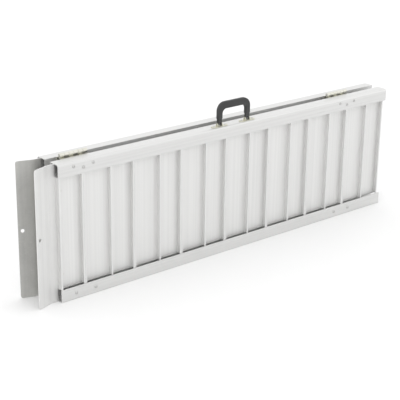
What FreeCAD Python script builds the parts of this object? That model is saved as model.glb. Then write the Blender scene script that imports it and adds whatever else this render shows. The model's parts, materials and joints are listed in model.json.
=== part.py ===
import FreeCAD, Part
import math
import os
import Sketcher

# Folding dog ramp, stored folded and standing on its long lower edge.
#
# Two aluminium halves lie tread to tread. Each half is an inner rail (top), an outer rail (bottom),
# seven planks, one half-width plank and a bent tongue at the upper end of the ramp. Two butt hinges
# join the inner rails along the top, so the rear half swings up and over to lie beside the front half.
# A black carrying handle stands on the front inner rail and folds outwards on its two brackets.
#
# Frame: +X along the ramp towards the end that rests on the ground, so the tongues are at -X.
# -Y is the outside of the front half, +Z is up, and the origin is on the floor midway between
# the halves and midway between the tongue tips and the ground end. Every size is in millimetres.

DIMENSIONS = [
    # alias, value, what it is
    ("ramp_length", 1220, "length of the rails"),
    ("half_width", 381, "width of one half, which is the folded ramp's height"),
    ("fold_gap", 24, "gap between the two halves' rails when folded"),
    ("rail_depth", 36, "depth of a rail, outside face to tread side"),
    ("rail_width", 36, "width of a rail across the ramp"),
    ("rail_wall", 2.2, "wall of the rail extrusion"),
    ("rail_round", 7, "rounded outer corner of the inner rail"),
    ("outer_rail_round", 2, "rounded outer corner of the outer rail"),
    ("rail_mouth", 13, "outside face to the far side of the slot along the outer rail's top"),
    ("curb_height", 10.5, "low curb on the outer rail's tread side"),
    ("curb_wall", 3, "thickness of the curb"),
    ("plank_pitch", 162, "distance from one plank joint to the next"),
    ("plank_play", 0.4, "seam between two planks"),
    ("first_joint", 76.5, "joint between the half plank and the first full plank"),
    ("plank_start", 1.5, "rail end to the edge of the half plank"),
    ("rib_offset", 87, "plank joint to the plank's own middle rib"),
    ("foot_recess", 1.5, "rail outside face to the feet of the ribs"),
    ("foot_width", 4.6, "width of a rib's foot"),
    ("foot_wall", 2.2, "thickness of a rib's foot"),
    ("rib_wall", 2.2, "thickness of a rib and of a plank's side wall"),
    ("skin_depth", 14, "rail outside face to the plank's lower skin"),
    ("skin_wall", 1.8, "thickness of the plank's two skins"),
    ("tread_depth", 33, "rail outside face to the tread surface"),
    ("ridge_height", 0.9, "height of the grip ridges"),
    ("ridge_width", 3, "width of a grip ridge"),
    ("ridge_first", 12, "plank edge to the first grip ridge"),
    ("ridge_pitch", 9, "distance between grip ridges"),
    ("tongue_reach", 68, "how far the tongue stands out beyond the rails"),
    ("tongue_bend", 46, "tongue tip to the bend, along the ramp"),
    ("tongue_angle", 18, "angle of the tongue's bent lip, in degrees"),
    ("tongue_wall", 3, "thickness of the tongue"),
    ("tongue_lap", 26, "how far the tongue runs into the half plank"),
    ("tongue_play", 0.3, "clearance over the tongue in the half plank's slot"),
    ("lap_margin", 0.5, "clearance between the tongue's lap and the rails"),
    ("tongue_inset", 0.5, "tongue edge to the edge of the half"),
    ("tongue_gap", 0.6, "clearance between the tongue and the rail ends"),
    ("tongue_corner", 6, "corner radius of the tongue"),
    ("tongue_hole_radius", 5, "hole for an anchor pin or tether"),
    ("tongue_hole_edge", 12, "hole centre to the tongue's free edge, along the lip"),
    ("bend_radius", 40, "inside radius of the tongue's bend"),
    ("rivet_radius", 2.4, "tongue rivet shank"),
    ("rivet_head", 4.5, "tongue rivet head radius"),
    ("rivet_dome", 1.4, "tongue rivet head height"),
    ("rivet_tail", 3.4, "radius of a tongue rivet's set end"),
    ("rivet_sink", 0.8, "depth of a tongue rivet's set end, flush in the plank's skin"),
    ("hinge_length", 84, "length of a hinge"),
    ("hinge_end", 77, "rail end at the tongue to the middle of the first hinge"),
    ("hinge_far_end", 176, "rail end at the ground to the middle of the second hinge"),
    ("hinge_wall", 2.5, "thickness of a hinge leaf"),
    ("hinge_drop", 32, "height of a hinge leaf's plate"),
    ("hinge_raise", 6, "hinge axis above the top of the rails"),
    ("knuckle_radius", 5.5, "hinge barrel radius"),
    ("knuckle_play", 0.6, "gap between knuckles"),
    ("pin_radius", 2.5, "hinge pin radius"),
    ("pin_play", 0.05, "radial clearance of a pin in its hole"),
    ("bolt_radius", 2.5, "bolt shank radius"),
    ("bolt_play", 0.15, "radial clearance of a bolt in its hole"),
    ("bolt_head", 4.5, "bolt head radius"),
    ("bolt_dome", 2.6, "bolt head height"),
    ("nut_radius", 4.6, "nut radius over its corners"),
    ("nut_height", 3.6, "nut height"),
    ("nut_play", 0.4, "radial clearance of a nut in its well"),
    ("nut_sink", 1, "nut face below the bumper's face"),
    ("hinge_bolt_high", 12.5, "rail top to the two upper hinge bolts"),
    ("hinge_bolt_low", 19.5, "rail top to the middle hinge bolt"),
    ("hinge_bolt_pitch", 30, "spacing of the hinge bolts along the rail"),
    ("bumper_length", 84, "length of a bumper block"),
    ("bumper_width", 20, "width of a bumper block across the rail"),
    ("bumper_height", 11, "thickness of a bumper block"),
    ("bumper_bolt_pitch", 62, "spacing of the two bolts in a bumper block"),
    ("handle_shift", -18, "handle's middle, from the middle of the rails to the point of balance"),
    ("handle_width", 119, "outside width of the handle"),
    ("handle_leg", 16.5, "width of a handle leg"),
    ("handle_top", 63, "handle pivot to the top of the grip"),
    ("handle_bar", 20.5, "height of the grip's section"),
    ("handle_depth", 12, "depth of the grip's section"),
    ("handle_base", 14, "handle pivot to the bottom of the full-size legs"),
    ("handle_round", 26, "outer corner radius of the handle"),
    ("handle_inner_round", 13, "inner corner radius of the handle"),
    ("handle_edge", 3.5, "rounding of the handle's long edges"),
    ("prong_width", 4, "width of each of the two prongs at a leg's end"),
    ("prong_gap", 4.5, "notch between the two prongs of a leg"),
    ("prong_notch", 5, "handle pivot to the top of the notch"),
    ("prong_radius", 3.8, "half the depth of a prong"),
    ("neck_root", 4, "how far the narrow neck runs up inside a leg"),
    ("pivot_height", 6.5, "rail top to the handle's pivot axis"),
    ("pivot_setback", 12, "rail outside face to the handle's pivot axis"),
    ("pivot_pin_radius", 2, "handle pivot pin radius"),
    ("plate_length", 56, "length of a handle bracket"),
    ("plate_width", 16, "width of a handle bracket"),
    ("plate_wall", 2, "thickness of a handle bracket"),
    ("ear_wall", 2.5, "thickness of a bracket ear"),
    ("ear_radius", 4.2, "rounded top of a bracket ear"),
    ("ear_play", 0.5, "side clearance between an ear and the handle"),
    ("screw_radius", 1.9, "bracket screw shank radius"),
    ("screw_head", 3.6, "bracket screw head radius"),
    ("screw_dome", 1.6, "bracket screw head height"),
    ("screw_length", 9, "bracket screw length below its head"),
    ("screw_spacing", 40, "spacing of the two screws in a bracket"),
    ("overrun", 1, "how far a drill or a joined block runs past the face that it meets"),
]

FULL_PLANKS = 7
KNUCKLES = 6
RIVETS = 4
RIDGES_FULL = 16
RIDGES_HALF = 6
ZERO = 1e-9
TOUCHING = 0.01
LEAST_CUT = 1
X_AXIS = FreeCAD.Vector(1, 0, 0)
Y_AXIS = FreeCAD.Vector(0, 1, 0)
Z_AXIS = FreeCAD.Vector(0, 0, 1)

doc = FreeCAD.newDocument("dog_ramp")


# ---------------------------------------------------------------------------------------------
# Driving dimensions
# ---------------------------------------------------------------------------------------------

class Size:
    """A length that knows its number and the sheet expression that it comes from."""

    def __init__(self, number, text):
        self.number = number
        self.text = text

    def __add__(self, other):
        other = as_size(other)
        return Size(self.number + other.number, f"({self.text} + {other.text})")

    def __radd__(self, other):
        return as_size(other) + self

    def __sub__(self, other):
        other = as_size(other)
        return Size(self.number - other.number, f"({self.text} - {other.text})")

    def __rsub__(self, other):
        return as_size(other) - self

    def __mul__(self, other):
        other = as_size(other)
        return Size(self.number * other.number, f"({self.text} * {other.text})")

    def __rmul__(self, other):
        return as_size(other) * self

    def __truediv__(self, other):
        other = as_size(other)
        return Size(self.number / other.number, f"({self.text} / {other.text})")

    def __neg__(self):
        return Size(-self.number, f"(-{self.text})")


def as_size(value):
    if isinstance(value, Size):
        return value
    return Size(float(value), f"({float(value)})")


def sine(angle):
    return Size(math.sin(math.radians(angle.number)), f"sin({angle.text})")


def cosine(angle):
    return Size(math.cos(math.radians(angle.number)), f"cos({angle.text})")


def tangent(angle):
    return Size(math.tan(math.radians(angle.number)), f"tan({angle.text})")


def fill_sheet():
    """Write every driving dimension into the sheet and return them by name."""
    sheet = doc.addObject("Spreadsheet::Sheet", "Dimensions")
    sizes = {}
    for row, (alias, value, meaning) in enumerate(DIMENSIONS, start=1):
        sheet.set(f"A{row}", alias)
        sheet.set(f"B{row}", str(value))
        sheet.setAlias(f"B{row}", alias)
        sheet.set(f"C{row}", meaning)
        sizes[alias] = Size(float(value), f"Dimensions.{alias}")
    doc.recompute()
    return sizes


S = fill_sheet()

rail_left = -(S["ramp_length"] - S["tongue_reach"]) / 2
rail_right = rail_left + S["ramp_length"]
rail_middle = rail_left + S["ramp_length"] / 2
outside_y = -(S["fold_gap"] / 2 + S["rail_depth"])
tread_side_y = -S["fold_gap"] / 2
rail_top = S["half_width"]
inner_rail_z = S["half_width"] - S["rail_width"]
plank_length = S["half_width"] - 2 * S["rail_width"]
hinge_axis_z = S["half_width"] + S["hinge_raise"]
hinge_centres = [rail_left + S["hinge_end"], rail_right - S["hinge_far_end"]]
handle_x = rail_middle + S["handle_shift"]
pivot_y = outside_y + S["pivot_setback"]
pivot_z = rail_top + S["pivot_height"]
bracket_offset = S["handle_width"] / 2 - S["handle_leg"] / 2
fork_width = 2 * S["prong_width"] + S["prong_gap"]
handle_pin_length = fork_width + 2 * (S["ear_play"] + S["ear_wall"])
bumper_seat_y = tread_side_y + S["bumper_height"] - S["nut_height"] - S["nut_sink"]


# ---------------------------------------------------------------------------------------------
# Building helpers
# ---------------------------------------------------------------------------------------------

nodes = {}


def keep(node, label):
    """Give a finished sub-part its name and list it for export."""
    node.Label = label
    nodes[label] = node
    return node


def bind(item, prop, size):
    item.setExpression(prop, as_size(size).text)


def put(item, x=0, y=0, z=0, axis=Z_AXIS, degrees=0):
    """Place an object, with its position bound to the sheet."""
    item.Placement = FreeCAD.Placement(FreeCAD.Vector(0, 0, 0), FreeCAD.Rotation(axis, degrees))
    bind(item, "Placement.Base.x", x)
    bind(item, "Placement.Base.y", y)
    bind(item, "Placement.Base.z", z)
    return item


def new_body(name):
    return doc.addObject("PartDesign::Body", name)


def new_sketch(body, plane, name, lift=None):
    """Add a sketch on one of the body's own origin planes, raised by lift along the plane's normal."""
    sketch = body.newObject("Sketcher::SketchObject", name)
    for feature in body.Origin.OriginFeatures:
        if feature.Role == plane:
            sketch.AttachmentSupport = [(feature, "")]
    sketch.MapMode = "FlatFace"
    if lift is not None:
        bind(sketch, "AttachmentOffset.Base.z", lift)
    return sketch


def pin_point(sketch, curve, end, x, y):
    """Hold a point of a curve at x, y from the sketch's origin."""
    for kind, size, zero_axis in (("DistanceX", as_size(x), -2), ("DistanceY", as_size(y), -1)):
        if abs(size.number) < ZERO:
            sketch.addConstraint(Sketcher.Constraint("PointOnObject", curve, end, zero_axis))
        else:
            index = sketch.addConstraint(Sketcher.Constraint(kind, -1, 1, curve, end, size.number))
            bind(sketch, f"Constraints[{index}]", size)


def outline(sketch, points):
    """Draw a closed loop of straight lines through the points."""
    first = sketch.GeometryCount
    corners = [FreeCAD.Vector(as_size(x).number, as_size(y).number, 0) for x, y in points]
    count = len(corners)
    for index in range(count):
        sketch.addGeometry(Part.LineSegment(corners[index], corners[(index + 1) % count]), False)
    for index in range(count):
        following = first + (index + 1) % count
        sketch.addConstraint(Sketcher.Constraint("Coincident", first + index, 2, following, 1))
    for index, (x, y) in enumerate(points):
        pin_point(sketch, first + index, 1, x, y)


def rectangle(sketch, x_low, y_low, x_high, y_high):
    outline(sketch, [(x_low, y_low), (x_high, y_low), (x_high, y_high), (x_low, y_high)])


def circle(sketch, x, y, radius):
    centre = FreeCAD.Vector(as_size(x).number, as_size(y).number, 0)
    curve = sketch.addGeometry(Part.Circle(centre, Z_AXIS, radius.number), False)
    pin_point(sketch, curve, 3, x, y)
    index = sketch.addConstraint(Sketcher.Constraint("Radius", curve, radius.number))
    bind(sketch, f"Constraints[{index}]", radius)


def pad(body, sketch, length, name, centred=False):
    feature = body.newObject("PartDesign::Pad", name)
    feature.Profile = sketch
    bind(feature, "Length", length)
    if centred:
        feature.SideType = "Symmetric"
    doc.recompute()
    return feature


def pocket_through(body, sketch, name, backwards=False):
    """Cut the sketch through the whole body, and make sure that it removed something."""
    before = body.Shape.Volume
    feature = body.newObject("PartDesign::Pocket", name)
    feature.Profile = sketch
    feature.Type = "ThroughAll"
    feature.Reversed = backwards
    doc.recompute()
    if not body.Shape.Volume < before - LEAST_CUT:
        raise ValueError(f"{name} cuts nothing")
    return feature


def edges_near(feature, *points):
    """Name the edges of a feature that pass through the given points."""
    found = []
    for point in points:
        probe = Part.Vertex(FreeCAD.Vector(*[as_size(value).number for value in point]))
        for index, edge in enumerate(feature.Shape.Edges, start=1):
            if edge.distToShape(probe)[0] < TOUCHING:
                found.append(f"Edge{index}")
    if not found:
        raise ValueError(f"no edge found on {feature.Name}")
    return found


def fillet(body, feature, radius, name, *points):
    rounding = body.newObject("PartDesign::Fillet", name)
    rounding.Base = (feature, edges_near(feature, *points))
    bind(rounding, "Radius", radius)
    doc.recompute()
    return rounding


def box(name, length, width, height, x=0, y=0, z=0):
    item = doc.addObject("Part::Box", name)
    bind(item, "Length", length)
    bind(item, "Width", width)
    bind(item, "Height", height)
    return put(item, x, y, z)


def rod(name, radius, length, x=0, y=0, z=0, axis=Z_AXIS, degrees=0):
    """A cylinder that stands along Z until it is turned about the given axis."""
    item = doc.addObject("Part::Cylinder", name)
    bind(item, "Radius", radius)
    bind(item, "Height", length)
    return put(item, x, y, z, axis, degrees)


def rod_along_x(name, radius, length, x, y, z):
    return rod(name, radius, length, x, y, z, Y_AXIS, 90)


def rod_along_y(name, radius, length, x, y, z):
    return rod(name, radius, length, x, y, z, X_AXIS, -90)


def fuse(name, items):
    joined = doc.addObject("Part::MultiFuse", name)
    joined.Shapes = items
    return joined


def cut(name, base, tool):
    result = doc.addObject("Part::Cut", name)
    result.Base = base
    result.Tool = tool
    return result


def group(name, items):
    """Keep identical separate pieces together as one sub-part."""
    gathered = doc.addObject("Part::Compound", name)
    gathered.Links = items
    return gathered


def redrill(label, body, drills):
    """Give a finished sub-part more holes and let the drilled piece take over its name."""
    drilled = cut(label + "_drilled", body, fuse(label + "_drills", drills))
    body.Label = label + "_undrilled"
    return keep(drilled, label)


# ---------------------------------------------------------------------------------------------
# Where the fasteners go
# ---------------------------------------------------------------------------------------------

def hinge_bolt_spots():
    """The staggered three-bolt pattern of each hinge: x along the rail from its end, z on the rail."""
    spots = []
    for centre in hinge_centres:
        for step, drop in ((-1, "hinge_bolt_high"), (0, "hinge_bolt_low"), (1, "hinge_bolt_high")):
            spots.append((centre - rail_left + step * S["hinge_bolt_pitch"], rail_top - S[drop]))
    return spots


def bumper_bolt_spots():
    """Two bolts through the outer rail at each bumper block."""
    spots = []
    for centre in hinge_centres:
        for step in (-1, 1):
            spots.append((centre - rail_left + step * S["bumper_bolt_pitch"] / 2, S["rail_width"] / 2))
    return spots


def bracket_screw_spots():
    """Two screws down through each handle bracket into the inner rail."""
    spots = []
    for side in (-1, 1):
        for step in (-1, 1):
            centre = handle_x + side * bracket_offset
            spots.append((centre - rail_left + step * S["screw_spacing"] / 2, S["pivot_setback"]))
    return spots


# ---------------------------------------------------------------------------------------------
# Rails
# ---------------------------------------------------------------------------------------------

def closed_rail_section(sketch):
    """Square tube."""
    rectangle(sketch, 0, 0, S["rail_depth"], S["rail_width"])
    wall = S["rail_wall"]
    rectangle(sketch, wall, wall, S["rail_depth"] - wall, S["rail_width"] - wall)


def slotted_rail_section(sketch):
    """The same tube with a slot along its top, between the outside wall and the planks."""
    wall = S["rail_wall"]
    depth = S["rail_depth"]
    width = S["rail_width"]
    mouth = S["rail_mouth"]
    points = [(0, 0), (depth, 0), (depth, width), (mouth, width), (mouth, width - wall)]
    points += [(depth - wall, width - wall), (depth - wall, wall), (wall, wall), (wall, width), (0, width)]
    outline(sketch, points)


def drill_across(body, spots, base_z, name):
    """Bolt holes from the outside face through to the tread side."""
    sketch = new_sketch(body, "XZ_Plane", name + "_sketch")
    for x, z in spots:
        circle(sketch, x, z - base_z, S["bolt_radius"] + S["bolt_play"])
    pocket_through(body, sketch, name)


def inner_rail():
    """Box-section rail along the fold, with the handle and hinge holes."""
    body = new_body("InnerRail")
    sketch = new_sketch(body, "YZ_Plane", "InnerRailSection")
    closed_rail_section(sketch)
    bar = pad(body, sketch, S["ramp_length"], "InnerRailBar")
    middle = S["ramp_length"] / 2
    rounded = fillet(body, bar, S["rail_round"], "InnerRailRound", (middle, 0, S["rail_width"]))
    wall = S["rail_wall"]
    hollow_corner = (middle, wall, S["rail_width"] - wall)
    fillet(body, rounded, S["rail_round"] - wall, "InnerRailHollowRound", hollow_corner)
    drill_across(body, hinge_bolt_spots(), inner_rail_z, "HingeBoltHoles")
    put(body, rail_left, outside_y, inner_rail_z)
    return keep(body, "front_inner_rail")


def bracket_holes_in_rail(body):
    """Screw holes for the handle brackets, through the top wall of the front inner rail only."""
    drills = []
    radius = S["screw_radius"] + S["bolt_play"]
    low = rail_top - 2 * S["rail_wall"]
    for index, (x, y) in enumerate(bracket_screw_spots()):
        drills.append(rod(f"RailDrill{index}", radius, 3 * S["rail_wall"], rail_left + x, outside_y + y, low))
    return redrill("front_inner_rail", body, drills)


def outer_rail():
    """Slotted rail along the ramp's edge, with a low curb beside the tread."""
    body = new_body("OuterRail")
    sketch = new_sketch(body, "YZ_Plane", "OuterRailSection")
    slotted_rail_section(sketch)
    bar = pad(body, sketch, S["ramp_length"], "OuterRailBar")
    middle = S["ramp_length"] / 2
    rounded = fillet(body, bar, S["outer_rail_round"], "OuterRailRound", (middle, 0, 0))
    lip = new_sketch(body, "YZ_Plane", "CurbSection")
    inside = S["rail_depth"] - S["rail_wall"] / 2
    rectangle(lip, inside, 0, S["rail_depth"] + S["curb_height"], S["curb_wall"])
    pad(body, lip, S["ramp_length"], "Curb")
    drill_across(body, bumper_bolt_spots(), as_size(0), "BumperBoltHoles")
    put(body, rail_left, outside_y, 0)
    return keep(body, "front_outer_rail")


# ---------------------------------------------------------------------------------------------
# Planks
# ---------------------------------------------------------------------------------------------

def plank_section(sketch, width, rib_at):
    """Hollow plank with an outward rib at each side, and one at rib_at unless that is None.

    The plank with no middle rib is the half plank, whose side wall has a slot for the tongue.
    """
    foot_low = S["foot_recess"]
    foot_high = S["foot_recess"] + S["foot_wall"]
    skin_low = S["skin_depth"]
    skin_high = S["skin_depth"] + S["skin_wall"]
    tread_high = S["tread_depth"]
    tread_low = S["tread_depth"] - S["skin_wall"]
    wall = S["rib_wall"]
    foot = S["foot_width"]
    points = [(0, foot_low), (foot, foot_low), (foot, foot_high), (wall, foot_high), (wall, skin_low)]
    cells = [(wall, width - wall)]
    if rib_at is not None:
        left = rib_at - wall / 2
        right = rib_at + wall / 2
        foot_left = rib_at - foot / 2
        foot_right = rib_at + foot / 2
        points += [(left, skin_low), (left, foot_high), (foot_left, foot_high), (foot_left, foot_low)]
        points += [(foot_right, foot_low), (foot_right, foot_high), (right, foot_high), (right, skin_low)]
        cells = [(wall, left), (right, width - wall)]
    points += [(width - wall, skin_low), (width - wall, foot_high), (width - foot, foot_high)]
    points += [(width - foot, foot_low), (width, foot_low), (width, tread_high), (0, tread_high)]
    if rib_at is None:
        slot_high = skin_high + S["tongue_wall"] + S["tongue_play"]
        points += [(0, slot_high), (wall, slot_high), (wall, tread_low), (width - wall, tread_low)]
        points += [(width - wall, skin_high), (0, skin_high)]
        cells = []
    outline(sketch, points)
    for cell_left, cell_right in cells:
        rectangle(sketch, cell_left, skin_high, cell_right, tread_low)


def add_ridges(body, first, count):
    """Grip ridges across the tread: one is drawn and the rest are patterned."""
    sketch = new_sketch(body, "XY_Plane", body.Name + "_ridge_sketch")
    low = S["tread_depth"] - S["skin_wall"] / 2
    rectangle(sketch, first, low, first + S["ridge_width"], S["tread_depth"] + S["ridge_height"])
    ridge = pad(body, sketch, plank_length, body.Name + "_ridge")
    pattern = body.newObject("PartDesign::LinearPattern", body.Name + "_ridges")
    pattern.Originals = [ridge]
    pattern.Direction = (sketch, ["H_Axis"])
    bind(pattern, "Length", (count - 1) * S["ridge_pitch"])
    pattern.Occurrences = count
    body.Tip = pattern
    doc.recompute()


def plank(label, x_start, width, rib_at, first_ridge, ridge_count):
    body = new_body("Body_" + label)
    sketch = new_sketch(body, "XY_Plane", label + "_section")
    plank_section(sketch, width, rib_at)
    pad(body, sketch, plank_length, label + "_bar")
    add_ridges(body, first_ridge, ridge_count)
    put(body, x_start, outside_y, S["rail_width"])
    return keep(body, label)


def planks():
    half_width = S["first_joint"] - S["plank_start"] - S["plank_play"] / 2
    start = rail_left + S["plank_start"]
    made = [plank("front_end_plank", start, half_width, None, S["ridge_first"], RIDGES_HALF)]
    full_width = S["plank_pitch"] - S["plank_play"]
    for index in range(FULL_PLANKS):
        start = rail_left + S["first_joint"] + S["plank_play"] / 2 + index * S["plank_pitch"]
        label = f"front_plank_{index + 1}"
        made.append(plank(label, start, full_width, S["rib_offset"], S["ridge_first"], RIDGES_FULL))
    return made


# ---------------------------------------------------------------------------------------------
# Tongue
# ---------------------------------------------------------------------------------------------

def tongue():
    """Bent plate at the upper end. It runs into the half plank, and its lip turns outwards."""
    angle = S["tongue_angle"]
    wall = S["tongue_wall"]
    bend = S["tongue_bend"]
    root = S["tongue_reach"] - S["tongue_gap"]
    bend_y = wall * cosine(angle) + bend * tangent(angle)
    under_bend = bend + wall * tangent(angle / 2)
    height = S["half_width"] - 2 * S["tongue_inset"]

    body = new_body("TonguePlate")
    lip = new_sketch(body, "XY_Plane", "TongueSection")
    points = [(wall * sine(angle), 0), (under_bend, bend_y - wall), (root, bend_y - wall)]
    points += [(root, bend_y), (bend, bend_y), (0, wall * cosine(angle))]
    outline(lip, points)
    plate = pad(body, lip, height, "TongueLip")

    half_height = height / 2
    bent = fillet(body, plate, S["bend_radius"] + wall, "TongueBendOutside", (bend, bend_y, half_height))
    inside_bend = (under_bend, bend_y - wall, half_height)
    bent = fillet(body, bent, S["bend_radius"], "TongueBendInside", inside_bend)
    tip_middle = (wall * sine(angle) / 2, wall * cosine(angle) / 2)
    low_corner = (tip_middle[0], tip_middle[1], 0)
    high_corner = (tip_middle[0], tip_middle[1], height)
    fillet(body, bent, S["tongue_corner"], "TongueCorners", low_corner, high_corner)

    lap_low = S["rail_width"] - S["tongue_inset"] + S["lap_margin"]
    lap = new_sketch(body, "XY_Plane", "TongueLapSection", lap_low)
    lap_end = S["tongue_reach"] + S["plank_start"] + S["tongue_lap"]
    rectangle(lap, root - S["overrun"], bend_y - wall, lap_end, bend_y)
    pad(body, lap, plank_length - 2 * S["lap_margin"], "TongueLap")
    tip_x = rail_left - S["tongue_reach"]
    tip_y = outside_y + S["skin_depth"] + S["skin_wall"] + wall - bend_y
    put(body, tip_x, tip_y, S["tongue_inset"])

    # The hole is square to the bent lip, at mid-height.
    along = S["tongue_hole_edge"]
    hole_x = tip_x + along * cosine(angle)
    hole_y = tip_y + along * sine(angle) + wall * cosine(angle)
    drill = rod("TongueDrill", S["tongue_hole_radius"], 4 * wall)
    put(drill, hole_x + 2 * wall * -sine(angle), hole_y + 2 * wall * cosine(angle), S["half_width"] / 2)
    drill.Placement.Rotation = (
        FreeCAD.Rotation(Z_AXIS, S["tongue_angle"].number).multiply(FreeCAD.Rotation(X_AXIS, 90))
    )
    holes = [drill] + rivet_drills()
    return keep(cut("Tongue", body, fuse("TongueHoles", holes)), "front_tongue")


def rivet_spots():
    """Rivets along the tongue's lap: x, z."""
    x = rail_left + S["plank_start"] + S["tongue_lap"] / 2
    spacing = plank_length / RIVETS
    return [(x, S["rail_width"] + spacing * (index + 0.5)) for index in range(RIVETS)]


def rivet_drills():
    """Holes through the tongue and the half plank's lower skin."""
    low = outside_y + S["skin_depth"] - S["overrun"]
    length = S["skin_wall"] + S["tongue_wall"] + 2 * S["overrun"]
    radius = S["rivet_radius"] + S["bolt_play"]
    return [rod_along_y(f"RivetDrill{index}", radius, length, x, low, z)
            for index, (x, z) in enumerate(rivet_spots())]


def rivet_seats():
    """Shallow seats in the lower skin for the rivets' flush set ends."""
    low = outside_y + S["skin_depth"] - S["overrun"]
    length = S["rivet_sink"] + S["overrun"]
    radius = S["rivet_tail"] + S["bolt_play"]
    return [rod_along_y(f"RivetSeat{index}", radius, length, x, low, z)
            for index, (x, z) in enumerate(rivet_spots())]


def tongue_rivets():
    """Rivets with their heads inside the half plank, set flush in its lower skin."""
    rivets = []
    skin_y = outside_y + S["skin_depth"]
    grip = S["skin_wall"] + S["tongue_wall"]
    for index, (x, z) in enumerate(rivet_spots()):
        head = rod_along_y(f"RivetHead{index}", S["rivet_head"], S["rivet_dome"], x, skin_y + grip, z)
        stem = rod_along_y(f"RivetStem{index}", S["rivet_radius"], grip, x, skin_y, z)
        set_end = rod_along_y(f"RivetTail{index}", S["rivet_tail"], S["rivet_sink"], x, skin_y, z)
        rivets.append(fuse(f"Rivet{index}", [head, stem, set_end]))
    return keep(group("TongueRivets", rivets), "front_tongue_rivets")


def rivet_holes_in_end_plank(body):
    """Matching holes in the half plank's lower skin."""
    return redrill("front_end_plank", body, rivet_drills() + rivet_seats())


# ---------------------------------------------------------------------------------------------
# Hinges
# ---------------------------------------------------------------------------------------------

def hinge_leaf(label, centre, turned):
    """A leaf with three of the six knuckles. The rear leaf is the same piece turned half round."""
    name = "Leaf_" + label
    length = S["hinge_length"]
    start = -length / 2
    gap = S["fold_gap"] / 2
    plate_low = -S["hinge_raise"] - S["hinge_drop"]
    pieces = [box(name + "_plate", length, S["hinge_wall"], S["hinge_drop"], start, -gap, plate_low)]
    knuckle = length / KNUCKLES
    knuckle_length = knuckle - S["knuckle_play"]
    for index in range(0, KNUCKLES, 2):
        x = start + index * knuckle + S["knuckle_play"] / 2
        tab_low = -S["hinge_raise"] - S["hinge_wall"]
        tab = box(f"{name}_tab{index}", knuckle_length, gap, S["hinge_wall"], x, -gap, tab_low)
        rise = box(f"{name}_rise{index}", knuckle_length, S["hinge_wall"], S["hinge_raise"])
        put(rise, x, -S["hinge_wall"] / 2, -S["hinge_raise"] - S["hinge_wall"] / 2)
        barrel = rod_along_x(f"{name}_barrel{index}", S["knuckle_radius"], knuckle_length, x, 0, 0)
        pieces += [tab, rise, barrel]
    bore = S["pin_radius"] + S["pin_play"]
    run = S["overrun"]
    drills = [rod_along_x(name + "_pin_hole", bore, length + 2 * run, start - run, 0, 0)]
    for step, drop in ((-1, "hinge_bolt_high"), (0, "hinge_bolt_low"), (1, "hinge_bolt_high")):
        x = step * S["hinge_bolt_pitch"]
        z = -S["hinge_raise"] - S[drop]
        radius = S["bolt_radius"] + S["bolt_play"]
        drills.append(rod_along_y(f"{name}_hole{step + 1}", radius, gap, x, -gap - run, z))
    leaf = cut(name, fuse(name + "_solid", pieces), fuse(name + "_holes", drills))
    put(leaf, centre, 0, hinge_axis_z, Z_AXIS, 180 if turned else 0)
    return keep(leaf, label)


def hinge_pin(label, centre):
    length = S["hinge_length"]
    pin = rod_along_x("Pin_" + label, S["pin_radius"], length, centre - length / 2, 0, hinge_axis_z)
    return keep(pin, label)


# ---------------------------------------------------------------------------------------------
# Bolts, nuts and bumper blocks
# ---------------------------------------------------------------------------------------------

def bolts(label, spots, grip):
    """Round-headed bolts from the outside face, through the rail and what is behind it."""
    made = []
    for index, (x, z) in enumerate(spots):
        name = f"{label}_{index}"
        world_x = rail_left + x
        head = rod_along_y(name + "_head", S["bolt_head"], S["bolt_dome"], world_x,
                           outside_y - S["bolt_dome"], z)
        shank = rod_along_y(name + "_shank", S["bolt_radius"], grip, world_x, outside_y, z)
        made.append(fuse(name, [head, shank]))
    return keep(group("Group_" + label, made), label)


def nuts(label, spots, seat_y):
    """Hexagon nuts on the tread side."""
    made = []
    for index, (x, z) in enumerate(spots):
        name = f"{label}_{index}"
        blank = doc.addObject("Part::Prism", name + "_blank")
        blank.Polygon = 6
        bind(blank, "Circumradius", S["nut_radius"])
        bind(blank, "Height", S["nut_height"])
        put(blank, rail_left + x, seat_y, z, X_AXIS, -90)
        radius = S["bolt_radius"] + S["pin_play"]
        low = seat_y - S["overrun"]
        thread = rod_along_y(name + "_thread", radius, 2 * S["nut_height"], rail_left + x, low, z)
        made.append(cut(name, blank, thread))
    return keep(group("Group_" + label, made), label)


def bumpers():
    """Rubber blocks beside the curb that keep the folded halves apart."""
    made = []
    low_z = S["rail_width"] / 2 - S["bumper_width"] / 2
    middle = S["rail_width"] / 2
    bore_radius = S["bolt_radius"] + S["bolt_play"]
    bore_y = tread_side_y - S["overrun"]
    bore_length = S["bumper_height"] + 2 * S["overrun"]
    well_radius = S["nut_radius"] + S["nut_play"]
    for index, centre in enumerate(hinge_centres):
        name = f"Bumper{index}"
        x = centre - S["bumper_length"] / 2
        blank = box(name + "_blank", S["bumper_length"], S["bumper_height"], S["bumper_width"])
        put(blank, x, tread_side_y, low_z)
        drills = []
        for step in (-1, 1):
            hole_x = centre + step * S["bumper_bolt_pitch"] / 2
            bore = rod_along_y(f"{name}_bore{step + 1}", bore_radius, bore_length, hole_x, bore_y, middle)
            well_name = f"{name}_well{step + 1}"
            well = rod_along_y(well_name, well_radius, bore_length, hole_x, bumper_seat_y, middle)
            drills += [bore, well]
        made.append(cut(name, blank, fuse(name + "_drills", drills)))
    return keep(group("BumperPair", made), "front_bumpers")


# ---------------------------------------------------------------------------------------------
# Handle
# ---------------------------------------------------------------------------------------------

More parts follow.
